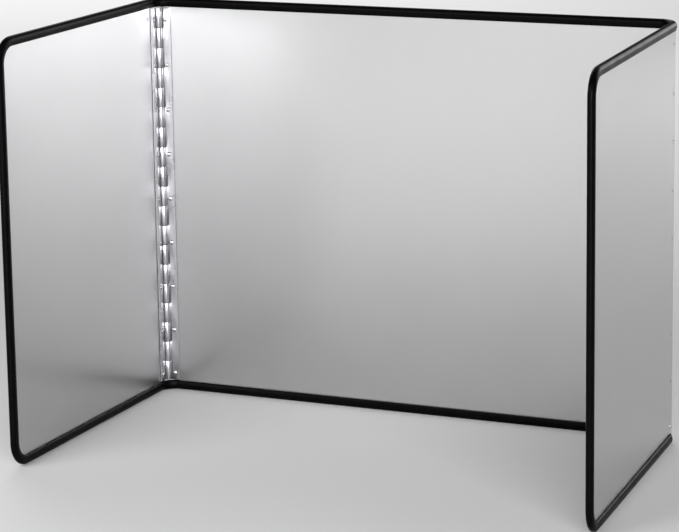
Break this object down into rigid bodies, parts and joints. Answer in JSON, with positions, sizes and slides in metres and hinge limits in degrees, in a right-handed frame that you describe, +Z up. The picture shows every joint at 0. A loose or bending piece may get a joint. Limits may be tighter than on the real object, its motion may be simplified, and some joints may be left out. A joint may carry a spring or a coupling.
{
  "type": "folding splatter guard",
  "caption": "Upright sheet-steel splatter guard with a hinged wing on each side, bound in black rubber edge trim, that stands round a pan and folds flat.",
  "frame": {"origin": "middle of the back panel's lower edge, on the surface that the guard stands on", "axes": "+X along the back panel, +Y away from the pan (the wings reach towards -Y), +Z up"},
  "size_m": [0.3446, 0.1932, 0.241],
  "materials": {
    "sheet": "satin",
    "hinge": "polished",
    "trim": "gloss"
  },
  "bodies": {
    "back": {"back_panel": "sheet", "back_foot_trim": "trim", "back_top_trim": "trim", "left_back_hinge_leaf": "hinge", "right_back_hinge_leaf": "hinge", "left_hinge_pin": "hinge", "right_hinge_pin": "hinge", "left_back_rivet_1": "hinge", "left_back_rivet_2": "hinge", "left_back_rivet_3": "hinge", "left_back_rivet_4": "hinge", "left_back_rivet_5": "hinge", "left_back_rivet_6": "hinge", "left_back_rivet_7": "hinge", "left_back_rivet_8": "hinge", "left_back_rivet_9": "hinge", "right_back_rivet_1": "hinge", "right_back_rivet_2": "hinge", "right_back_rivet_3": "hinge", "right_back_rivet_4": "hinge", "right_back_rivet_5": "hinge", "right_back_rivet_6": "hinge", "right_back_rivet_7": "hinge", "right_back_rivet_8": "hinge", "right_back_rivet_9": "hinge", "left_foot_trim_bend": "trim", "left_top_trim_bend": "trim", "right_foot_trim_bend": "trim", "right_top_trim_bend": "trim"},
    "left_wing": {"left_wing_panel": "sheet", "left_wing_trim": "trim", "left_wing_hinge_leaf": "hinge", "left_wing_rivet_1": "hinge", "left_wing_rivet_2": "hinge", "left_wing_rivet_3": "hinge", "left_wing_rivet_4": "hinge", "left_wing_rivet_5": "hinge", "left_wing_rivet_6": "hinge", "left_wing_rivet_7": "hinge", "left_wing_rivet_8": "hinge", "left_wing_rivet_9": "hinge"},
    "right_wing": {"right_wing_panel": "sheet", "right_wing_trim": "trim", "right_wing_hinge_leaf": "hinge", "right_wing_rivet_1": "hinge", "right_wing_rivet_2": "hinge", "right_wing_rivet_3": "hinge", "right_wing_rivet_4": "hinge", "right_wing_rivet_5": "hinge", "right_wing_rivet_6": "hinge", "right_wing_rivet_7": "hinge", "right_wing_rivet_8": "hinge", "right_wing_rivet_9": "hinge"}
  },
  "joints": [
    {"name": "left_wing_fold", "type": "hinge", "parent": "back", "child": "left_wing", "pos_m": [-0.15965, -0.00235, 0.1205], "axis": [0, 0, 1], "range_deg": [-91, 89], "deforming": ["left_foot_trim_bend", "left_top_trim_bend"]},
    {"name": "right_wing_fold", "type": "hinge", "parent": "back", "child": "right_wing", "pos_m": [0.15965, -0.00235, 0.1205], "axis": [0, 0, 1], "range_deg": [-92, 85], "deforming": ["right_foot_trim_bend", "right_top_trim_bend"]}
  ]
}
